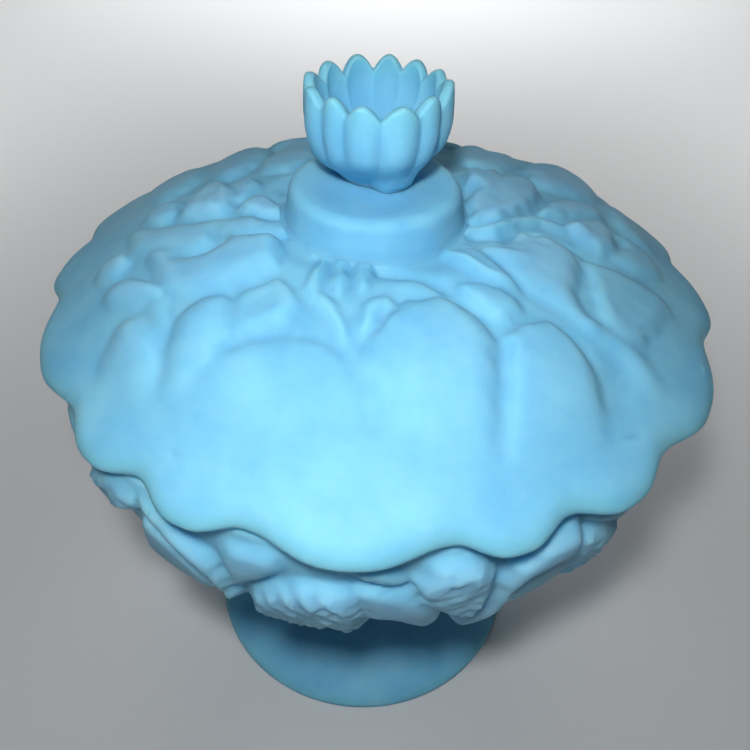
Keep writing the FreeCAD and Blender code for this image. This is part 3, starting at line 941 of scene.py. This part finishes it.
# ---------------------------- materials
class Surface:
    """A material whose shader is fed from noise and from numbers painted on the piece."""

    def __init__(self, name, **values):
        """Start with plain values for the shader's inputs, whose names have _ for a space."""
        self.material = bpy.data.materials.new(name)
        self.material.use_nodes = True
        self.tree = self.material.node_tree
        self.shader = self.tree.nodes["Principled BSDF"]
        for key, value in values.items():
            self.shader.inputs[key.replace("_", " ")].default_value = value
        self.place = self.tree.nodes.new("ShaderNodeTexCoord").outputs["Object"]

    def node(self, kind, inputs, **settings):
        """Add a node. Each input is either a plain value or another node's output."""
        made = self.tree.nodes.new(kind)
        for key, value in settings.items():
            setattr(made, key, value)
        for key, value in inputs.items():
            if isinstance(value, bpy.types.NodeSocket):
                self.tree.links.new(value, made.inputs[key])
            else:
                made.inputs[key].default_value = value
        return made

    def noise(self, scale, detail, roughness=0.5):
        """Noise over the piece; a higher scale is finer."""
        made = self.node("ShaderNodeTexNoise", {"Vector": self.place, "Scale": scale,
                                                "Detail": detail, "Roughness": roughness})
        return made.outputs["Fac"]

    def stretched(self, value, before, after):
        """Map a range of values to another range."""
        made = self.node("ShaderNodeMapRange", {"Value": value, "From Min": before[0],
                                                "From Max": before[1], "To Min": after[0],
                                                "To Max": after[1]})
        return made.outputs["Result"]

    def mixed(self, factor, first, second):
        """Mix two colours."""
        made = self.node("ShaderNodeMix", {"Factor": factor, "A": first, "B": second},
                         data_type="RGBA")
        return made.outputs["Result"]

    def painted(self, name, strength):
        """A number painted on the piece, scaled down."""
        layer = self.node("ShaderNodeAttribute", {}, attribute_name=name)
        made = self.node("ShaderNodeMath", {0: layer.outputs["Fac"], 1: strength},
                         operation="MULTIPLY")
        return made.outputs[0]

    def bump(self, height, strength, depth, under=None):
        """Surface direction over fine bumps, which may lie on other bumps."""
        inputs = {"Height": height, "Strength": strength, "Distance": depth}
        if under:
            inputs["Normal"] = under
        return self.node("ShaderNodeBump", inputs).outputs["Normal"]

    def feed(self, **outputs):
        """Link outputs to the shader's inputs, whose names have _ for a space."""
        for key, value in outputs.items():
            self.tree.links.new(value, self.shader.inputs[key.replace("_", " ")])
        return self.material


def satin_glass():
    """Acid-etched pale blue glass: matt, cloudy, with a painted highlight on the relief, and
    greener at thin edges.
    """
    glass = Surface("satin_blue_glass", Subsurface_Weight=0.9,
                    Subsurface_Radius=(0.8, 0.95, 1.0), Subsurface_Scale=0.0055, IOR=1.5,
                    Specular_IOR_Level=0.22)
    clouds = glass.stretched(glass.noise(70.0, 4.0, 0.55), (0.27, 0.73), (0.0, 1.0))
    colour = glass.mixed(clouds, *CLOUD_COLOURS)
    # Painted highlight: the relief's tops are mixed towards a paler colour.
    colour = glass.mixed(glass.painted("raised", 0.42), colour, RELIEF_HIGHLIGHT_COLOUR)
    colour = glass.mixed(glass.painted("thin", 0.35), colour, THIN_COLOUR)
    matt = glass.stretched(glass.noise(260.0, 3.0), (0.0, 1.0), (0.52, 0.68))
    frost = glass.bump(glass.noise(1900.0, 2.0), 0.10, 0.0002)
    waves = glass.bump(glass.noise(150.0, 3.0), 0.18, 0.0006, under=frost)
    return glass.feed(Base_Color=colour, Roughness=matt, Normal=waves)


def floor_material():
    """Plain pale studio floor with a faint mottling."""
    ground = Surface("pale_floor", Roughness=0.7)
    return ground.feed(Base_Color=ground.mixed(ground.noise(3.0, 3.0), *FLOOR_COLOURS))


# ---------------------------- stage, light and camera
def make_floor():
    """A square floor under the dish, which belongs to the studio and not to the part."""
    mesh = bpy.data.meshes.new("studio_floor")
    corners = [(-1, -1), (1, -1), (1, 1), (-1, 1)]
    mesh.from_pydata([(FLOOR_HALF * x, FLOOR_HALF * y, 0) for x, y in corners], [],
                     [(0, 1, 2, 3)])
    floor = place_in_scene("studio_floor", mesh)
    floor.data.materials.append(floor_material())


def make_lights():
    """The area lights, and a faint even light from all round."""
    for name, (place, target, size, power, spread) in LIGHTS.items():
        data = bpy.data.lights.new(name, "AREA")
        data.size = size
        data.spread = math.radians(spread)
        data.energy = power
        light = place_in_scene(name, data)
        light.location = place
        aim = Vector(target) - Vector(place)
        light.rotation_euler = aim.to_track_quat("-Z", "Y").to_euler()
    world = bpy.data.worlds.new("studio_air")
    world.use_nodes = True
    air = world.node_tree.nodes["Background"]
    air.inputs["Color"].default_value = AIR_COLOUR
    air.inputs["Strength"].default_value = AIR_STRENGTH
    bpy.context.scene.world = world


def make_camera():
    """Camera close in front of the dish, looking down at its lid."""
    flat = math.cos(CAMERA_PITCH)
    ahead = Vector((math.sin(CAMERA_YAW) * flat, math.cos(CAMERA_YAW) * flat,
                    -math.sin(CAMERA_PITCH)))
    level = Vector((math.cos(CAMERA_YAW), -math.sin(CAMERA_YAW), 0))
    above = level.cross(ahead)
    right = math.cos(CAMERA_ROLL) * level + math.sin(CAMERA_ROLL) * above
    up = -math.sin(CAMERA_ROLL) * level + math.cos(CAMERA_ROLL) * above
    data = bpy.data.cameras.new("camera")
    data.sensor_width = SENSOR_MM
    data.lens = LENS_MM
    data.clip_start = 0.01
    camera = place_in_scene("camera", data)
    turn = Matrix((right, up, -ahead)).transposed().to_4x4()
    camera.matrix_world = Matrix.Translation(CAMERA_PLACE) @ turn
    bpy.context.scene.camera = camera


bpy.context.scene.view_settings.view_transform = "Standard"
bpy.context.scene.view_settings.gamma = GAMMA
make_camera()
make_lights()
make_floor()
glass = satin_glass()
for piece, body, cad_node in ((make_lid(), BODY_OF_LID, "lid"),
                              (make_blossom(), BODY_OF_LID, "lid"),
                              (make_bowl(), BODY_OF_BOWL, "footed_bowl")):
    face_outwards(piece)
    piece.data.materials.append(glass)
    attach(piece, body)
    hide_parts(cad_node)
